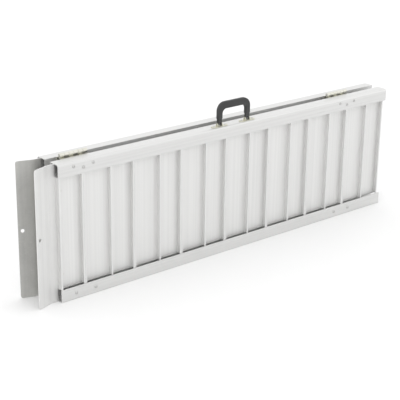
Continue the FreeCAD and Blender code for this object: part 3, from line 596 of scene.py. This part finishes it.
# %% Find the fasteners in the frame
def islands(node, reach):
    """Boxes of a node's separate solids, found by sorting its corners into clusters along X and Z."""
    groups = []
    for vertex in frame["nodes"][node].data.vertices:
        place = vertex.co
        for group in groups:
            if abs(place.x - group["x"]) < reach and abs(place.z - group["z"]) < reach:
                group["corners"].append(place.copy())
                break
        else:
            groups.append({"x": place.x, "z": place.z, "corners": [place.copy()]})
    boxes = []
    for group in groups:
        low = Vector([min(corner[axis] for corner in group["corners"]) for axis in range(3)])
        high = Vector([max(corner[axis] for corner in group["corners"]) for axis in range(3)])
        boxes.append((low, high))
    return sorted(boxes, key=lambda box: (round(box[0].x, 4), round(box[0].z, 4)))


FASTENER_REACH = 11 * MM
for node in ("front_hinge_bolts", "front_bumper_nuts", "front_tongue_rivets", "handle_bracket_screws"):
    print(node, "holds", len(islands(node, FASTENER_REACH)))

# %% [markdown]
# ## Bolts
# Each hinge is held by button-head bolts with a hexagon socket for a key. We turn one bolt with its
# head up, give its end a few thread ridges, sink the socket with a six-sided cutter, and copy it. A
# real fitter never leaves the sockets in line, so each copy is turned a little further than the last.

# %% One button-head bolt
BOLT_SHANK = 2.5 * MM
BOLT_HEAD = 4.5 * MM
BOLT_DOME = 2.6 * MM
THREAD_PITCH = 0.8 * MM
THREAD_DEPTH = 0.3 * MM
THREAD_RIDGES = 8
SOCKET_RADIUS = 1.75 * MM
SOCKET_DEPTH = 1.5 * MM
CUTTER_HEIGHT = 4 * MM
BOLT_TURN = 23


def button_bolt(name, length):
    """A bolt along Z. Its head stands on the XY plane and its shank hangs below."""
    tip = -length
    outline = [(0, tip), (BOLT_SHANK - THREAD_DEPTH, tip)]
    for ridge in range(THREAD_RIDGES):
        low = tip + (ridge + 0.5) * THREAD_PITCH
        outline.append((BOLT_SHANK, low))
        outline.append((BOLT_SHANK - THREAD_DEPTH, low + THREAD_PITCH / 2))
    outline += [(BOLT_SHANK, tip + (THREAD_RIDGES + 1) * THREAD_PITCH), (BOLT_SHANK, 0)]
    outline += [(BOLT_HEAD - HEAD_CHAMFER, 0), (BOLT_HEAD, HEAD_CHAMFER)]
    outline += dome(BOLT_HEAD, HEAD_RIM, BOLT_DOME - HEAD_RIM)
    bolt = turned(name, outline)
    place = (0, 0, BOLT_DOME - SOCKET_DEPTH + CUTTER_HEIGHT / 2)
    size = {"radius": SOCKET_RADIUS, "depth": CUTTER_HEIGHT}
    bpy.ops.mesh.primitive_cylinder_add(vertices=6, location=place, **size)
    cut_with(bolt, settle(named("socket_cutter")))
    smooth(bolt)
    return bolt


def set_out(pattern, name, node, places):
    """Copy a pattern piece to each place, join the copies and hand them over for the node."""
    copies = []
    for place in places:
        copy = pattern.copy()
        copy.data = pattern.data.copy()
        copy.data.transform(place)
        bpy.context.scene.collection.objects.link(copy)
        copies.append(copy)
    only(copies[0])
    if len(copies) > 1:
        for copy in copies:
            copy.select_set(True)
        bpy.ops.object.join()
    return hand_over(named(name), node)


def facing(point, towards, turn):
    """A place at the point, with the piece's Z axis towards +Y, -Y or +Z, and turned about itself."""
    swing = {"+Y": -90, "-Y": 90, "+Z": 0}[towards]
    spun = Matrix.Rotation(math.radians(turn), 4, "Z")
    return Matrix.Translation(point) @ Matrix.Rotation(math.radians(swing), 4, "X") @ spun


SIDES = {"front": "-Y", "rear": "+Y"}
OTHER_SIDE = {"front": "+Y", "rear": "-Y"}
bolt_count = 0
for kind in ("hinge_bolts", "bumper_bolts"):
    for half, outwards in SIDES.items():
        node = f"{half}_{kind}"
        boxes = islands(node, FASTENER_REACH)
        length = boxes[0][1].y - boxes[0][0].y - BOLT_DOME
        pattern = button_bolt("bolt_pattern", length)
        places = []
        for index, (low, high) in enumerate(boxes):
            seat = low.y + BOLT_DOME if outwards == "-Y" else high.y - BOLT_DOME
            point = Vector(((low.x + high.x) / 2, seat, (low.z + high.z) / 2))
            places.append(facing(point, outwards, BOLT_TURN * index))
        set_out(pattern, f"{node}_domed", node, places)
        bpy.data.objects.remove(pattern)
        bolt_count += len(places)
print(bolt_count, "button-head bolts")

# %% [markdown]
# ## Nuts
# A nut is a six-sided bar with its corners turned off at both faces and a hole through the middle. So
# we take a six-sided cylinder, keep only what lies inside a turned lens shape, and bore it.

# %% One nut, copied
NUT_BORE = 2.6 * MM
NUT_CHAMFER = 0.5 * MM
NUT_TURN = 17


def hexagon_nut(name, radius, height):
    """A nut that stands on the XY plane."""
    place = (0, 0, height / 2)
    bpy.ops.mesh.primitive_cylinder_add(vertices=6, radius=radius, depth=height, location=place)
    nut = settle(named(name))
    flat = radius * math.cos(math.pi / 6)
    lens = [(0, 0), (flat, 0), (radius, NUT_CHAMFER)]
    lens += [(radius, height - NUT_CHAMFER), (flat, height), (0, height)]
    cut_with(nut, turned("nut_lens", lens), "INTERSECT")
    bpy.ops.mesh.primitive_cylinder_add(vertices=TURNS, radius=NUT_BORE, depth=3 * height)
    cut_with(nut, settle(named("nut_drill")))
    smooth(nut)
    return nut


nut_count = 0
for kind in ("hinge_nuts", "bumper_nuts"):
    for half, inwards in OTHER_SIDE.items():
        node = f"{half}_{kind}"
        boxes = islands(node, FASTENER_REACH)
        size = boxes[0][1] - boxes[0][0]
        pattern = hexagon_nut("nut_pattern", size.x / 2, size.y)
        places = []
        for index, (low, high) in enumerate(boxes):
            seat = low.y if inwards == "+Y" else high.y
            point = Vector(((low.x + high.x) / 2, seat, (low.z + high.z) / 2))
            places.append(facing(point, inwards, NUT_TURN * index))
        set_out(pattern, f"{node}_faced", node, places)
        bpy.data.objects.remove(pattern)
        nut_count += len(places)
print(nut_count, "nuts")

# %% [markdown]
# ## Rivets, screws and pins
# The tongue's rivets have a domed head inside the plank and a flat end set flush in its skin. The
# bracket screws have a low pan head with a cross recess, cut with two thin blades. The pins are plain
# bar with chamfered ends and a small centre mark from the lathe.

# %% Rivets
RIVET_SHANK = 2.4 * MM
RIVET_HEAD = 4.5 * MM
RIVET_DOME = 1.4 * MM
RIVET_TAIL = 3.4 * MM
RIVET_SINK = 0.8 * MM
RIVET_RIM = 0.25 * MM


def rivet(name, length):
    """A rivet along Z. Its head stands on the XY plane."""
    tail_top = -length + RIVET_SINK
    outline = [(0, -length), (RIVET_TAIL - HEAD_CHAMFER, -length), (RIVET_TAIL, -length + HEAD_CHAMFER)]
    outline += [(RIVET_TAIL, tail_top), (RIVET_SHANK, tail_top), (RIVET_SHANK, 0)]
    outline += [(RIVET_HEAD, 0)] + dome(RIVET_HEAD, RIVET_RIM, RIVET_DOME - RIVET_RIM)
    piece = turned(name, outline)
    smooth(piece)
    return piece


for half, inwards in OTHER_SIDE.items():
    node = f"{half}_tongue_rivets"
    boxes = islands(node, FASTENER_REACH)
    pattern = rivet("rivet_pattern", boxes[0][1].y - boxes[0][0].y - RIVET_DOME)
    places = []
    for low, high in boxes:
        seat = high.y - RIVET_DOME if inwards == "+Y" else low.y + RIVET_DOME
        point = Vector(((low.x + high.x) / 2, seat, (low.z + high.z) / 2))
        places.append(facing(point, inwards, 0))
    set_out(pattern, f"{node}_domed", node, places)
    bpy.data.objects.remove(pattern)
    print(len(places), "rivets in", node)

# %% Bracket screws
SCREW_SHANK = 1.9 * MM
SCREW_HEAD = 3.6 * MM
SCREW_DOME = 1.6 * MM
RECESS_LENGTH = 3.8 * MM
RECESS_WIDTH = 0.8 * MM
BLADE_HEIGHT = 1.6 * MM
SCREW_POINT = 2 * MM
SCREW_TURN = 31


def pan_screw(name, length):
    """A cross-recessed screw along Z. Its head stands on the XY plane."""
    point_top = -length + SCREW_POINT
    outline = [(0, -length), (SCREW_SHANK, point_top), (SCREW_SHANK, 0), (SCREW_HEAD, 0)]
    outline += dome(SCREW_HEAD, HEAD_RIM, SCREW_DOME - HEAD_RIM)
    screw = turned(name, outline)
    for width, depth in ((RECESS_LENGTH, RECESS_WIDTH), (RECESS_WIDTH, RECESS_LENGTH)):
        size = (width, depth, BLADE_HEIGHT)
        bpy.ops.mesh.primitive_cube_add(size=1, location=(0, 0, SCREW_DOME), scale=size)
        cut_with(screw, settle(named("recess_blade")))
    smooth(screw)
    return screw


boxes = islands("handle_bracket_screws", FASTENER_REACH)
pattern = pan_screw("screw_pattern", boxes[0][1].z - boxes[0][0].z - SCREW_DOME)
places = []
for index, (low, high) in enumerate(boxes):
    point = Vector(((low.x + high.x) / 2, (low.y + high.y) / 2, high.z - SCREW_DOME))
    places.append(facing(point, "+Z", SCREW_TURN * index))
set_out(pattern, "handle_bracket_screws_turned", "handle_bracket_screws", places)
bpy.data.objects.remove(pattern)
print(len(places), "bracket screws")

# %% Pins
PIN_CHAMFER = 0.6 * MM
CENTRE_MARK = 0.7 * MM


def pin(name, radius, length):
    """A pin along Z, with its middle at the origin."""
    half = length / 2
    outline = [(0, -half + CENTRE_MARK), (CENTRE_MARK, -half), (radius - PIN_CHAMFER, -half)]
    outline += [(radius, -half + PIN_CHAMFER), (radius, half - PIN_CHAMFER)]
    outline += [(radius - PIN_CHAMFER, half)]
    outline += [(CENTRE_MARK, half), (0, half - CENTRE_MARK)]
    piece = turned(name, outline)
    smooth(piece)
    return piece


PIN_BOXES = {
    "left_hinge_pin": [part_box("left_hinge_pin")],
    "right_hinge_pin": [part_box("right_hinge_pin")],
}
PIN_BOXES["handle_pins"] = islands("handle_pins", 2 * FASTENER_REACH)
for node, boxes in PIN_BOXES.items():
    size = boxes[0][1] - boxes[0][0]
    pattern = pin("pin_pattern", size.z / 2, size.x)
    along_x = Matrix.Rotation(math.radians(90), 4, "Y")
    places = [Matrix.Translation((low + high) / 2) @ along_x for low, high in boxes]
    set_out(pattern, f"{node}_turned", node, places)
    bpy.data.objects.remove(pattern)
    print(len(places), "pin in", node)

# %% [markdown]
# ## Carrying handle
# The handle is moulded plastic: a broad arch with rounded corners and soft edges, whose two legs narrow
# to notched forks that hinge on the brackets. We draw half of the arch's outline with one point, by
# extruding it along the straights and spinning it round the corners, fill the outline, give it depth,
# mirror it and round the long edges. Each fork is a block and an eye, notched and bored, and the solid
# union of it all is the handle.

# %% The handle's arch
HANDLE_LEG = 16.5 * MM
HANDLE_BAR = 20.5 * MM
HANDLE_DEPTH = 12 * MM
HANDLE_ROUND = 26 * MM
HANDLE_INNER_ROUND = 13 * MM
HANDLE_EDGE = 3.4 * MM
LEG_FOOT = 14 * MM
PRONG_RADIUS = 3.8 * MM
CORNER_STEPS = 10
EDGE_STEPS = 5
EDGE_SHARP = math.radians(50)
SEAM_GAP = 0.05 * MM


def draw_to(x, z):
    """Extrude the drawing point along a straight."""
    bpy.ops.mesh.extrude_region_move(TRANSFORM_OT_translate={"value": (x, 0, z)})


def draw_round(degrees, x, z):
    """Spin the drawing point about a corner's centre, clockwise as seen from the front."""
    turn = math.radians(degrees)
    bpy.ops.mesh.spin(steps=CORNER_STEPS, angle=turn, center=(x, 0, z), axis=(0, -1, 0))


def handle_arch(width, height):
    """The arch stands with its feet on the XY plane, middle at the origin."""
    half = width / 2
    straight = height - HANDLE_ROUND
    inner_top = height - HANDLE_BAR
    inner_side = half - HANDLE_LEG
    bpy.ops.mesh.primitive_plane_add(size=MM, location=(0, 0, 0))
    arch = named("handle_arch")
    edit(arch)
    bpy.ops.mesh.select_all(action="SELECT")
    bpy.ops.mesh.merge(type="CENTER")
    bpy.ops.transform.translate(value=(-half, -HANDLE_DEPTH / 2, 0))
    draw_to(0, straight)
    draw_round(90, HANDLE_ROUND - half, straight)
    draw_to(half - HANDLE_ROUND, 0)
    draw_to(0, -HANDLE_BAR)
    draw_to(HANDLE_INNER_ROUND - inner_side, 0)
    draw_round(-90, HANDLE_INNER_ROUND - inner_side, inner_top - HANDLE_INNER_ROUND)
    draw_to(0, HANDLE_INNER_ROUND - inner_top)
    draw_to(-HANDLE_LEG, 0)
    bpy.ops.mesh.select_all(action="SELECT")
    bpy.ops.mesh.remove_doubles(threshold=HAIR)
    bpy.ops.mesh.edge_face_add()
    bpy.ops.mesh.extrude_region_move(TRANSFORM_OT_translate={"value": (0, HANDLE_DEPTH, 0)})
    bpy.ops.mesh.select_all(action="SELECT")
    bpy.ops.mesh.normals_make_consistent(inside=False)
    faces_where(arch, lambda centre, normal: abs(centre.x) < HAIR and abs(normal.x) > FACING)
    bpy.ops.mesh.delete(type="FACE")
    done()
    settle(arch)
    across = {"use_axis": (True, False, False), "use_clip": True}
    apply_modifier(arch, "MIRROR", merge_threshold=SEAM_GAP, **across)
    clean(arch)
    return arch


low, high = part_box("handle")
pivot_z = low.z + PRONG_RADIUS
foot_z = pivot_z + LEG_FOOT
handle_width = high.x - low.x
arch = handle_arch(handle_width, high.z - foot_z)
long_edges = {"limit_method": "ANGLE", "angle_limit": EDGE_SHARP}
apply_modifier(arch, "BEVEL", width=HANDLE_EDGE, segments=EDGE_STEPS, **long_edges)
print("arch", [round(size / MM, 1) for size in arch.dimensions], "mm")

# %% The handle's forks
PRONG_WIDTH = 4 * MM
PRONG_GAP = 4.5 * MM
PRONG_NOTCH = 5 * MM
EYE_BORE = 2.05 * MM
NECK_ROOT = 4 * MM
FORK_EDGE = 0.3 * MM
HANDLE_SMOOTH = 40
FORK_WIDTH = 2 * PRONG_WIDTH + PRONG_GAP


def cylinder_along_x(name, radius, length, centre):
    place = {"location": centre, "rotation": (0, math.radians(90), 0)}
    bpy.ops.mesh.primitive_cylinder_add(vertices=BORE_STEPS, radius=radius, depth=length, **place)
    return settle(named(name))


def fork(centre_x, centre_y):
    """A neck that is notched into two prongs with rounded, bored ends."""
    height = LEG_FOOT + NECK_ROOT
    size = (FORK_WIDTH, 2 * PRONG_RADIUS, height)
    middle_of_neck = (centre_x, centre_y, pivot_z + height / 2)
    bpy.ops.mesh.primitive_cube_add(size=1, location=middle_of_neck, scale=size)
    neck = settle(named("neck"))
    pivot = (centre_x, centre_y, pivot_z)
    cut_with(neck, cylinder_along_x("eye", PRONG_RADIUS, FORK_WIDTH, pivot), "UNION")
    notch_size = (PRONG_GAP, 4 * PRONG_RADIUS, 2 * PRONG_NOTCH)
    bpy.ops.mesh.primitive_cube_add(size=1, location=pivot, scale=notch_size)
    cut_with(neck, settle(named("notch")))
    cut_with(neck, cylinder_along_x("eye_drill", EYE_BORE, 2 * FORK_WIDTH, pivot))
    corners = {"limit_method": "ANGLE", "angle_limit": SHARP}
    apply_modifier(neck, "BEVEL", width=FORK_EDGE, segments=2, **corners)
    return neck


centre_y = (low.y + high.y) / 2
arch.location = ((low.x + high.x) / 2, centre_y, foot_z)
settle(arch)
for side in (-1, 1):
    leg_middle = (low.x + high.x) / 2 + side * (handle_width / 2 - HANDLE_LEG / 2)
    cut_with(arch, fork(leg_middle, centre_y), "UNION")
arch.name = "handle_moulding"
arch.data.name = "handle_moulding"
hand_over(arch, "handle")
smooth(arch, HANDLE_SMOOTH)
sizes = [round(size / MM, 1) for size in arch.dimensions]
print("handle", sizes, "mm,", len(arch.data.polygons), "faces")

# %% [markdown]
# ## Studio
# A wide pale floor and a bright, even room suit bare aluminium, which has no colour of its own and only
# shows what is around it. One large soft light above the camera's left shoulder gives the faces their
# small differences, and a weaker one on the right keeps the far end from going flat.

# %% Floor, room and lights
FLOOR_SIZE = 30
ROOM_LIGHT = 1.2
FLOOR_DARK = 0.84
FLOOR_PALE = 0.87


def pale_floor():
    bpy.ops.object.select_all(action="DESELECT")
    bpy.ops.mesh.primitive_plane_add(size=FLOOR_SIZE, location=(0, 0, 0))
    floor = named("studio_floor")
    recipe = Recipe("studio_floor_finish")
    mottle = recipe.noise((1.5, 1.5, 1.5), 4.0)
    colour = recipe.blend(mottle, grey(FLOOR_DARK), grey(FLOOR_PALE))
    floor.data.materials.append(recipe.finish((mottle, 0.02, MM), Base_Color=colour, Roughness=0.8))
    floor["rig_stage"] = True


def soft_light(name, place, size, power):
    """A square area light that faces the ramp's middle."""
    lamp = bpy.data.objects.new(name, bpy.data.lights.new(name, "AREA"))
    bpy.context.scene.collection.objects.link(lamp)
    lamp.data.size = size
    lamp.data.energy = power
    lamp.location = place
    lamp.rotation_mode = "QUATERNION"
    lamp.rotation_quaternion = (middle - Vector(place)).to_track_quat("-Z", "Y")


pale_floor()
soft_light("key_light", place=(-2.6, -1.8, 3.2), size=2.4, power=22)
soft_light("fill_light", place=(3.2, -2.4, 2.2), size=2.0, power=4)
room = bpy.data.worlds.new("studio_room")
bpy.context.scene.world = room
room.use_nodes = True
background = room.node_tree.nodes["Background"]
background.inputs["Color"].default_value = (1.0, 1.0, 1.0, 1.0)
background.inputs["Strength"].default_value = ROOM_LIGHT
bpy.context.scene.view_settings.view_transform = "Standard"

# %% [markdown]
# ## Last look over the bench
# Every part of the frame should now be hidden behind a finished piece. The two boxes, before and
# after, are measured and gathered.

# %% Count, measure and finish
left_over = [name for name, part in frame["nodes"].items() if not part.hide_render]
for name in left_over:
    frame["nodes"][name].data.materials.clear()
    frame["nodes"][name].data.materials.append(SLOT_FINISH[NODE_SLOT[name]])
print("parts shown as they are:", left_over)
FINISHED_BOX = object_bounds()
boxes = {"cad": [list(corner) for corner in CAD_BOX], "visual": [list(corner) for corner in FINISHED_BOX]}
